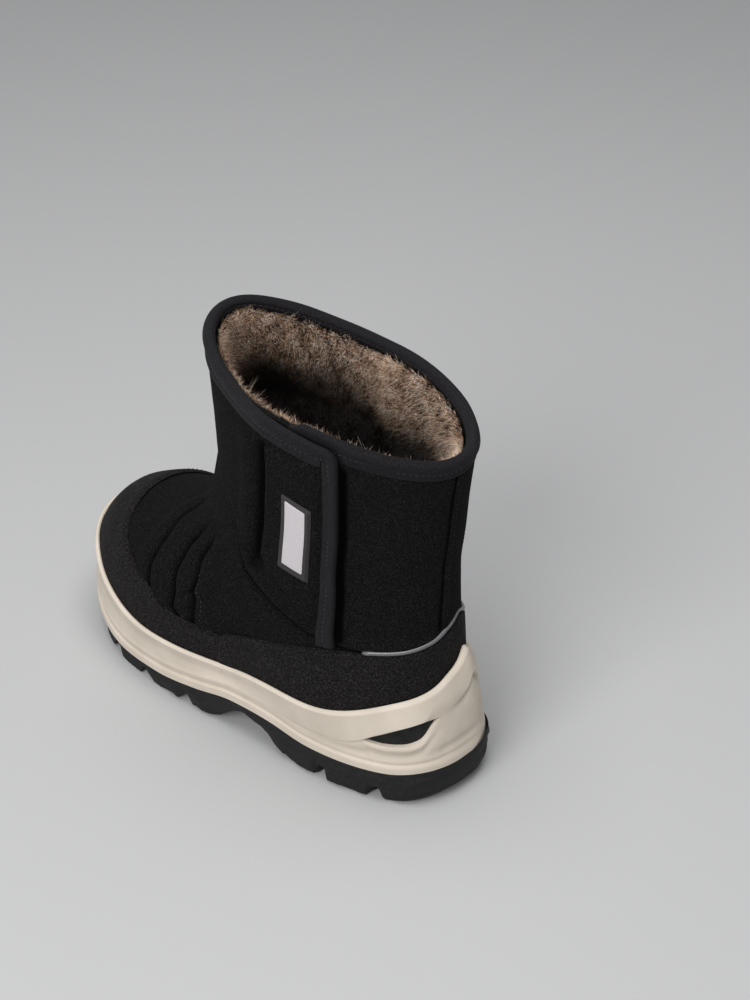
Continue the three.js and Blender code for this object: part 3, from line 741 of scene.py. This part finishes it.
def label_plate(middle, width, height, low, high, corner):
    def shape(s, t, side):
        x, y = (t - 0.5) * width, (s - 0.5) * height
        edge = np.minimum(width / 2 - np.abs(x), height / 2 - np.abs(y))
        drop = middle[1] + y - LABEL_SLANT * x
        out = FLAP_INNER + FLAP_THICKNESS + low + side * (high - low) * pillow(edge + 0.05, corner)
        points = on_flap(middle[0] + x, drop, out + 0.6)
        return points, np.stack([x, y, 0 * x], -1)
    return shape


border_plate = label_plate((17.1, 59.2), 12.8, 42.0, -1.0, 0.7, 0.8)
field_plate = label_plate((17.0, 58.0), 8.9, 36.5, 0.3, 0.92, 0.4)
fit("label_border", cut_cloth(40, 16, border_plate), border, 35)
fit("label_field", cut_cloth(36, 14, field_plate), patch, 35)

# ---- Rand, heel counter and back stay ----
# Charcoal split suede, 1.5 mm thick, lasted under the midsole's cup: a rand round the forefoot,
# and over its ends a counter with a double row of stitches. A narrow stay covers the back seam.

SUEDE_IN, SUEDE_OUT = 0.3, 1.8
suede = Finish("charcoal_suede", 0.93, Sheen_Weight=0.08, Sheen_Roughness=0.5, Sheen_Tint=hue("8a8785"),
               Specular_IOR_Level=0.08)
fibre = suede.noise(0.8, 3.0, roughness=0.7)
patchy = suede.noise(9.0, 2.0)
suede.colour(suede.blend(
    suede.ramp(suede.noise(0.8, 1.0), (0.72, 0.0), (0.82, 0.25)),
    suede.blend(suede.ramp(patchy, (0.35, 0.0), (0.7, 0.4)),
                suede.ramp(fibre, (0.36, hue("070606")), (0.52, hue("181717")), (0.68, hue("393535"))),
                hue("151314")),
    hue("4a4643")))
suede.relief(fibre, 0.30).relief(suede.noise(2.2, 2.0), 0.3)

rand_edge, = table((0, 0.34), (20, 0.333), (46, 0.298), (77, 0.268), (93, 0.225), (106, 0.225))
counter_edge, = table((0, 0.25), (98, 0.26), (108, 0.303), (120, 0.359), (132, 0.387), (152, 0.387),
                      (170, 0.403), (180, 0.435), (189, 0.487))
OVERLAP = 101.5                         # where the counter's end covers the rand's
RAND_END = OVERLAP + 1.0
SUEDE_FOOT = 0.004                      # both bands start just above the feather line


def rand_shape(s, t, side):
    a = -RAND_END + 2 * RAND_END * t
    top = rand_edge(np.abs(a))
    v = SUEDE_FOOT + (top - SUEDE_FOOT) * s
    edge = np.minimum((1 - s) * (top - SUEDE_FOOT) * TRIM_RISE, np.minimum(t, 1 - t) * 2 * RAND_END)
    out = SUEDE_IN + side * (SUEDE_OUT - SUEDE_IN) * (0.25 + 0.75 * pillow(edge, 1.1))
    points = on_last(v, a, out)
    points += outward(v, a) * (0.12 * side * ripple(points, 15, 61))[:, None]
    return points, points


rand = fit("toe_rand", cut_cloth(36, 250, rand_shape), suede)
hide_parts("front_rand")


def counter_top(a):
    return counter_edge(from_toe(a, 3.5))


def counter_shape(s, t, side):
    first = OVERLAP - 2.2
    a = first + (360 - 2 * first) * t
    turned = 180 - np.abs(180 - a)
    top = counter_top(a) - 0.035 * (1 - pillow(turned - first, 4.5))
    v = SUEDE_FOOT + (top - SUEDE_FOOT) * s
    below = (1 - s) * (top - SUEDE_FOOT) * TRIM_RISE
    edge = np.minimum(below, turned - first)
    lap = 1 - smooth((turned - first - 3) / 7)
    out = SUEDE_IN + lap + side * (SUEDE_OUT - SUEDE_IN) * (0.25 + 0.75 * pillow(edge, 1.1))
    points = on_last(v, a, out)
    dimple = bump(below - 2.4, 0.5)
    points += outward(v, a) * (side * (0.14 * ripple(points, 15, 62) - 0.18 * dimple))[:, None]
    return points, points


counter = fit("counter_suede", cut_cloth(40, 280, counter_shape), suede)
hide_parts("heel_counter")

for row, below in (("upper", 2.4), ("lower", 5.0)):
    a = np.linspace(104, 256, 500)
    a = a[np.abs(a - HEEL_MIDDLE) > 3.5]
    v = counter_top(a) - below / TRIM_RISE
    sew_on_last(f"stitches_counter_{row}", v, a, SUEDE_OUT - 0.06, dark_thread, "suede", pitch=2.5)
a = np.linspace(-99, 99, 600)
v = rand_edge(np.abs(a)) - 2.3 / TRIM_RISE
sew_on_last("stitches_rand", v, a, SUEDE_OUT + 0.02, dark_thread, "suede", pitch=2.5)

STAY_HALF = 6.6
DEGREES_AT_HEEL = 1.35                  # per millimetre across the back seam
STAY_MIDDLE = STAY_SEAM + STAY_HALF * DEGREES_AT_HEEL


def stay_shape(s, t, side):
    foot = counter_top(STAY_MIDDLE) - 0.06
    v = foot + (TAPE_ROW + 0.006 - foot) * s
    across = (t - 0.5) * 2 * STAY_HALF
    out = 0.5 + side * 1.1 * (0.1 + 0.9 * pillow(STAY_HALF - np.abs(across), 1.3))
    return on_last(v, STAY_MIDDLE - across * DEGREES_AT_HEEL, out), np.stack([across, v * 200, 0 * v], -1)


fit("back_stay", cut_cloth(70, 14, stay_shape), soft_shell)
stay_v = np.linspace(0.49, 0.962, 200)
for word, sign in (("lateral", 1), ("medial", -1)):
    at = np.full(200, STAY_MIDDLE - sign * (STAY_HALF - 1.7) * DEGREES_AT_HEEL)
    sew_on_last(f"stitches_stay_{word}", stay_v, at, 1.6, dark_thread, "soft_shell", pitch=2.5)

# ---- Reflective piping ----
# A cord of grey reflective tape, folded and caught in the counter's top seam round the back; both
# ends are turned in, so they are round and a little thicker.

PIPING_START = 140.0
glint = Finish("reflective_tape", 0.38, Metallic=0.25, Specular_IOR_Level=0.6, Coat_Weight=0.15,
               Coat_Roughness=0.3)
beads = glint.cells(0.45)
glint.colour(glint.ramp(beads, (0.1, hue("525254")), (0.8, hue("6e6e70"))))
glint.relief(beads, 0.05)


def piping_cord(s, t, side):
    start = PIPING_START - 0.6
    a = start + (mirrored(start) - start) * t
    turned = from_toe(a)
    k = 2 * np.pi * s
    end = pillow(turned - start, 2.4)
    plump = 1 + 0.35 * bump(turned - start - 2.0, 1.8)
    up = np.sin(k) * 1.25 * end * (1 + 0.25 * (plump - 1))
    out = 1.15 + np.cos(k) * 0.95 * end * plump
    v = counter_top(a) + (1.25 + up) / TRIM_RISE
    return on_last(v, a, out), np.stack([a * 1.1, 8 * s, 0 * s], -1)


piping = fit("piping_cord", close_ends(cut_cloth(16, 200, piping_cord, thick=False)), glint)
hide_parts("reflective_piping")

# ---- Midsole ----
# A cup of moulded cream foam rubber: a thin lip over the tread, a soft ridge along the forefoot,
# and round the heel a proud arm over a sculpted window.

GAP = 0.3
CUP_THICKNESS = 2.4
FOOT_FORM = 2.1
SOLE_HALF = 120.0
SOLE_WIDE_X = 50.0
SOLE_LATERAL, SOLE_MEDIAL = 48.5, 47.2
SOLE_WAIST_X, SOLE_WAIST_LENGTH = -22.0, 38.0
sole_edge, = table((-120, 22), (-100, 18.5), (-60, 17.5), (-35, 19.5), (-12, 19), (12, 14.5), (40, 10.5),
                   (62, 10), (95, 14.5), (120, 26.5))
cup_edge, = table((0, 0.147), (38, 0.147), (60, 0.123), (86, 0.103), (96, 0.106), (115, 0.137),
                  (128, 0.127), (154, 0.177), (173, 0.204), (183, 0.262), (189, 0.345))

HEEL_SWELL = 2.6                        # the heel is squarer on the medial side


def sole_outline(a, grow, z_of_x):
    grow = grow + HEEL_SWELL * bump(a % 360 - 197, 20)
    r = np.radians(a)
    c, s = np.cos(r), np.sin(r)
    power = np.where(c >= 0, 2.25, 2.8)
    end = np.where(c >= 0, SOLE_HALF + grow, -SOLE_HALF - grow)
    x = SOLE_WIDE_X + (end - SOLE_WIDE_X) * np.abs(c) ** (2 / power)
    side = np.where(s >= 0, SOLE_LATERAL, SOLE_MEDIAL)
    waist = np.where(s >= 0, 0.07, 0.09)
    pinch = 1 - waist * bump(x - SOLE_WAIST_X, SOLE_WAIST_LENGTH)
    y = np.sign(s) * (side * pinch + grow) * np.abs(s) ** (2 / power) + turn(x)
    return np.stack([x, y, z_of_x(x)], -1)


def cup_wall(share, a, grow=0.0):
    """The cup's outer face, from the tread's edge (share 0) to the cup's top (share 1)."""
    turned = from_toe(a, 2.5)
    low = sole_outline(a, grow, sole_edge)
    low[:, 2] += 2.5
    top = on_last(cup_edge(turned), a, FOOT_FORM + CUP_THICKNESS + grow)
    mid = low + (top - low) * (0.12 + 0.33 * smooth((turned - 160) / 20))[:, None]
    mid[:, 2] = low[:, 2] + (top[:, 2] - low[:, 2]) * 0.55
    u = np.clip(share, 0, 1)[:, None]
    points = low * (1 - u) ** 2 + mid * 2 * u * (1 - u) + top * u ** 2
    points[:, 2] -= 2.5 * smooth(1 - share / 0.06)
    return points


def heel_tab(a):
    """Where the tread's rubber climbs the midsole at the back, from 0 to 1."""
    return bump(a % 360 - 201, 15.0, 4)


# The arm's lower edge, and the window's lower edge below it, as shares of the wall's height.
arm_edge, = table((96, 0.30), (112, 0.29), (126, 0.32), (135, 0.387), (146, 0.575), (155, 0.638),
                  (165, 0.665), (179, 0.61), (189, 0.74))
window_low, = table((137, 0.43), (140, 0.473), (148, 0.39), (156, 0.36), (162, 0.395), (170, 0.585),
                    (174, 0.65))
WINDOW_START, WINDOW_END = 139.5, 173
CLOSED = 0.006                          # how far apart the two edges stay where there is no window


def window_foot(turned):
    inside = (turned > WINDOW_START) & (turned < WINDOW_END)
    closed = arm_edge(turned) - CLOSED
    return np.where(inside, np.minimum(window_low(turned), closed), closed)


WINDOW_DEPTH = 1.6
CUP_OUTSIDE = 0.80                      # share of the cup's rows that lies on its outer wall
# Shares of those rows at the foot, the window's two edges and the slopes into it, and the top.
WALL_ROWS = np.array([0, 0.46, 0.50, 0.62, 0.66, 1.0])


def cup_relief(share, turned, height):
    """Sculpting of the wall in millimetres; height is the wall's own height there."""
    edge, foot = arm_edge(turned), window_foot(turned)
    rear = smooth((turned - 108) / 32)
    up = (share - edge) * height
    down = (foot - share) * height
    opening = np.clip((edge - foot) * height / 2.5, 0, 1)
    joined = smooth((turned - 165) / 6) * (1 - smooth((turned - 179) / 5))
    arm = 0.9 * smooth(up / (0.9 + 9 * joined) + 0.2)
    out = rear * arm * (1 - 0.7 * smooth((share - edge) / np.maximum(1 - edge, 0.1)))
    rim = opening * (1 - 0.8 * smooth((turned - 161) / 7))
    out += rear * (0.75 * bump(down - 2.0, 1.8) * rim
                   - (1 - joined) * bump(down, 1.2) * (1 - opening) * (share <= edge)
                   - 0.7 * bump(down - 6.5, 2.2) * rim)
    heel = smooth((turned - 176) / 8)
    out += 0.4 * heel * smooth(up / 2.5 + 0.2) * (1 - smooth((up - 8) / 14))
    out -= 1.0 * heel * bump(down - 1.5, 3.0) * (share <= edge)
    out -= 0.9 * rear * bump(share * height - 7.0, 2.4) * (1 - 0.6 * opening)
    fore = 1 - smooth((turned - 100) / 25)
    out += fore * (0.45 * bump(share * height - 6.8, 1.8) - 0.8 * bump(share - 0.62, 0.20))
    out += 0.75 * bump(np.maximum(0, share * height - 1.0), 0.9, 4)
    out -= 0.35 * bump(share * height - 2.9, 0.8)
    out -= 0.9 * smooth((share - 0.955) / 0.045) ** 2
    return out


def cup_shape(s, t, side):
    a = round_angle(t)
    turned = from_toe(a, 2.5)
    wall = s <= CUP_OUTSIDE
    w = np.clip(s / CUP_OUTSIDE, 0, 1)
    edge, foot = arm_edge(turned), window_foot(turned)
    stops = np.stack([0 * edge, foot, foot + 0.001, edge - 0.001, edge, 0 * edge + 1])
    share = np.zeros_like(a)
    for k in range(5):
        low, high = WALL_ROWS[k], WALL_ROWS[k + 1]
        here = (w >= low) & (w <= high)
        share[here] = (stops[k] + (stops[k + 1] - stops[k]) * (w - low) / (high - low))[here]
    flat = cup_wall(share, a)
    step = cup_wall(share, a, 1.0) - flat
    normal = unit(step)
    base, top = cup_wall(0 * a, a), cup_wall(0 * a + 1, a)
    height = np.linalg.norm(top - base, axis=1)
    relief = cup_relief(share, turned, height)
    relief = np.where(share * height < 12, relief * (1 - heel_tab(a)) - 0.2 * heel_tab(a), relief)
    points = flat + normal * relief[:, None]
    hollow = (w > 0.495) & (w < 0.625) & (turned > WINDOW_START) & (turned < WINDOW_END)
    deep = np.clip((edge - foot) * height / 1.2 - 0.1, 0, 1) * WINDOW_DEPTH * 2
    core = hollow & (w > 0.505) & (w < 0.615)
    points = np.where(core[:, None], points - normal * deep[:, None], points)
    back = np.clip((s - CUP_OUTSIDE) / 0.20, 0, 1)
    v = cup_edge(turned) * (1 - smooth((back - 0.25) / 0.75))
    depth = np.interp(back, [0, 0.25, 1.0], [CUP_THICKNESS - 0.9, 0.0, 0.0])
    inner = on_last(v, a, FOOT_FORM + depth)
    inner[:, 2] += np.interp(back, [0, 0.12, 0.25, 1], [0.1, 0.5, 0.0, 0.0])
    points = np.where(wall[:, None], points, inner)
    return points, points


cream = Finish("cream_foam_rubber", 0.55, Specular_IOR_Level=0.4)
cloud = cream.noise(18.0, 3.0)
grime = cream.noise(3.0, 4.0, roughness=0.7)
cream.colour(cream.blend(cream.ramp(grime, (0.62, 0.0), (0.85, 0.35)),
                         cream.ramp(cloud, (0.3, hue("c3b8a9")), (0.7, hue("d0c5b7"))), hue("b6ab9b")))
cream.rough(grime, 0.45, 0.68)
cream.relief(cream.noise(0.5, 2.0), 0.035).relief(cream.noise(5.0, 2.0), 0.08)
midsole = fit("cup_midsole", cut_cloth(116, 380, cup_shape, thick=False), cream, 42)
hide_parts("midsole")

# ---- Window inserts ----
# Smooth black rubber behind each window, moulded in one with the heel's core.

insert_rubber = Finish("insert_rubber", 0.5, Specular_IOR_Level=0.2)
insert_rubber.colour(insert_rubber.ramp(insert_rubber.noise(4.0), (0.3, hue("111112")),
                                        (0.7, hue("1f1f20"))))
HEEL_WALL = 34                          # height of the cup's wall at the window
insert_rubber.relief(insert_rubber.noise(0.7), 0.05)


def insert_shape(sign):
    def shape(s, t, side):
        turned = 139.8 + 32.8 * t
        a = turned if sign > 0 else mirrored(turned)
        edge, foot = arm_edge(turned), window_foot(turned)
        share = foot + (edge - foot) * s
        flat = cup_wall(share, a)
        normal = unit(cup_wall(share, a, 1.0) - flat)
        opening = np.clip((edge - foot) * HEEL_WALL / 1.2, 0, 1)
        depth = WINDOW_DEPTH * (1.15 - 0.35 * bump(s - 0.5, 0.4) + (1 - side) * 0.9)
        return flat - normal * (depth * opening)[:, None], flat
    return shape


for word, sign in (("lateral", 1), ("medial", -1)):
    bm = cut_cloth(12, 44, insert_shape(sign))
    core = fit(f"window_core_{word}", bm, insert_rubber, 35)
    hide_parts(f"window_insert_{word}")

# ---- Outsole ----
# Black moulded rubber tread: heel and forefoot lugs with a raised waist between them, curled up
# at the toe and the heel, and a thin band of it up the midsole's edge.

HEEL_TAB = 3.5
LUG_PITCH = 17.0
tread, = table((-120, 5), (-106, 0.6), (-98, 0), (-50, 0), (-44, 2), (-32, 10), (-20, 14), (-10, 10),
               (0, 2), (6, 0), (66, 0), (76, 1), (98, 8), (120, 22))
# Each groove across: its middle, its width, how far its ends sweep forward, its roof's height.
GROOVES = [(-97, 6, 6, 7), (-71, 6, 8, 7.5), (24, 6, -8, 5.5), (53, 8, -8, 5.2), (79, 6, -9, 7),
           (95, 5, -10, 12)]
# Each channel along: its start and end, its middle, its width and its roof's height.
CHANNELS = [(10, 76, -17, 5, 4), (11, 76, 15, 5, 4), (-92, -52, 0, 6, 4)]


def tread_height(x, y):
    """Height of the tread's underside, with its grooves and channels cut up into it."""
    z = tread(x)
    for middle, width, sweep, top in GROOVES:
        bend = middle + sweep * np.clip((np.abs(y) - 12) / 58, 0, 1)
        cut = smooth((width / 2 - np.abs(x - bend)) / 2.2 + 0.5)
        z = np.maximum(z, tread(x) + (np.maximum(top, tread(x)) - tread(x)) * cut)
    for start, end, middle, width, top in CHANNELS:
        cut = smooth((width / 2 - np.abs(y - middle)) / 1.8 + 0.5)
        cut *= smooth((x - start) / 1.5) * smooth((end - x) / 1.5)
        z = np.maximum(z, tread(x) + (np.maximum(top, tread(x)) - tread(x)) * cut)
    return z


# Shares of the surface's rows at which the underside and the outer wall end.
TREAD_ROWS, WALL_TOP = 0.55, 0.88


def outsole_shape(s, t, side):
    a = 360 * t
    flat = np.clip(s / TREAD_ROWS, 0, 1)
    rise = np.clip((s - TREAD_ROWS) / (WALL_TOP - TREAD_ROWS), 0, 1)
    back = np.clip((s - WALL_TOP) / (1 - WALL_TOP), 0, 1)
    grow = np.interp(rise, [0, 0.25, 0.6, 1.0], [-1.6, -0.2, 0.9, 0.6])
    grow += heel_tab(a) * (0.5 * (rise > 0.3) - 1.3 * bump(rise - 0.62, 0.10))
    side_x = sole_outline(a, 0.0, sole_edge)[:, 0]
    slope = np.sin(2 * np.pi * (np.abs(side_x) - 9 * rise) / LUG_PITCH)
    grow += 0.7 * smooth(slope * 1.5 + 0.4) * smooth(rise / 0.2) * smooth((0.9 - rise) / 0.15)
    toe = smooth((side_x - 30) / 35) * (rise > 0)
    grow = grow * (1 - toe) - 0.9 * toe
    rim = sole_outline(a, grow, sole_edge)
    middle = (rim + sole_outline(360 - a, grow, sole_edge)) / 2
    points = middle + (rim - middle) * (flat - back)[:, None]
    bottom = np.minimum(tread_height(points[:, 0], points[:, 1]), sole_edge(points[:, 0]) - 3.2)
    top = sole_edge(points[:, 0]) - GAP + HEEL_TAB * heel_tab(a) * (rise > 0.45) * (back < 0.05)
    points[:, 2] = bottom + (top - bottom) * np.interp(rise, [0, 0.25, 0.6, 1.0], [0.0, 0.12, 0.55, 1.0])
    return points, points


rubber = Finish("tread_rubber", 0.66, Specular_IOR_Level=0.22)
dust = rubber.noise(2.0, 4.0, roughness=0.65)
rubber.colour(rubber.ramp(dust, (0.35, hue("151516")), (0.62, hue("1f1f20")), (0.85, hue("383735"))))
rubber.rough(dust, 0.5, 0.8)
rubber.relief(rubber.noise(0.6, 2.0), 0.06)
outsole = fit("tread", cut_cloth(76, 460, outsole_shape, thick=False), rubber, 50)
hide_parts("outsole")

# ---- Floor, light and camera ----
# A plain pale floor and soft studio light from above, in front and from the left.

bm = bmesh.new()
bmesh.ops.create_grid(bm, x_segments=1, y_segments=1, size=4.0)
floor_mesh = bpy.data.meshes.new("floor")
bm.to_mesh(floor_mesh)
bm.free()
floor = bpy.data.objects.new("floor", floor_mesh)
bpy.context.scene.collection.objects.link(floor)
paper = Finish("pale_paper", 0.9, Specular_IOR_Level=0.1)
paper.colour(paper.ramp(paper.noise(900.0, 1.0), (0.3, hue("b4b4b4")), (0.7, hue("b8b8b8"))))
floor_mesh.materials.append(paper.material)

world = bpy.data.worlds.new("studio")
bpy.context.scene.world = world
world.use_nodes = True
world.node_tree.nodes["Background"].inputs["Color"].default_value = (0.95, 0.97, 1.0, 1)
world.node_tree.nodes["Background"].inputs["Strength"].default_value = 0.33


def softbox(name, place, aim, size, power):
    lamp = bpy.data.lights.new(name, "AREA")
    lamp.shape = "RECTANGLE"
    lamp.size, lamp.size_y = size
    lamp.energy = power
    made = bpy.data.objects.new(name, lamp)
    bpy.context.scene.collection.objects.link(made)
    made.location = place
    made.rotation_mode = "QUATERNION"
    made.rotation_quaternion = (Vector(aim) - Vector(place)).to_track_quat("-Z", "Y")


softbox("overhead", (-0.10, 0.10, 1.30), (-0.02, 0, 0.05), (0.9, 0.9), 11)
softbox("left", (-0.30, 1.20, 0.95), (0, 0, 0.08), (0.9, 0.9), 16)

AZIMUTH, ELEVATION = math.radians(222.62), math.radians(35.57)
TARGET = Vector((-79.7, 16.1, 156.0)) * MM
DISTANCE = 0.833
back = Vector((math.sin(AZIMUTH) * math.cos(ELEVATION), -math.cos(AZIMUTH) * math.cos(ELEVATION),
               math.sin(ELEVATION)))
camera = bpy.data.objects.new("camera", bpy.data.cameras.new("camera"))
bpy.context.scene.collection.objects.link(camera)
camera.data.lens = 69.41
camera.data.sensor_width = 36.0
camera.location = TARGET + back * DISTANCE
camera.rotation_mode = "QUATERNION"
camera.rotation_quaternion = (-back).to_track_quat("-Z", "Y")
bpy.context.scene.camera = camera
bpy.context.scene.view_settings.view_transform = "Standard"
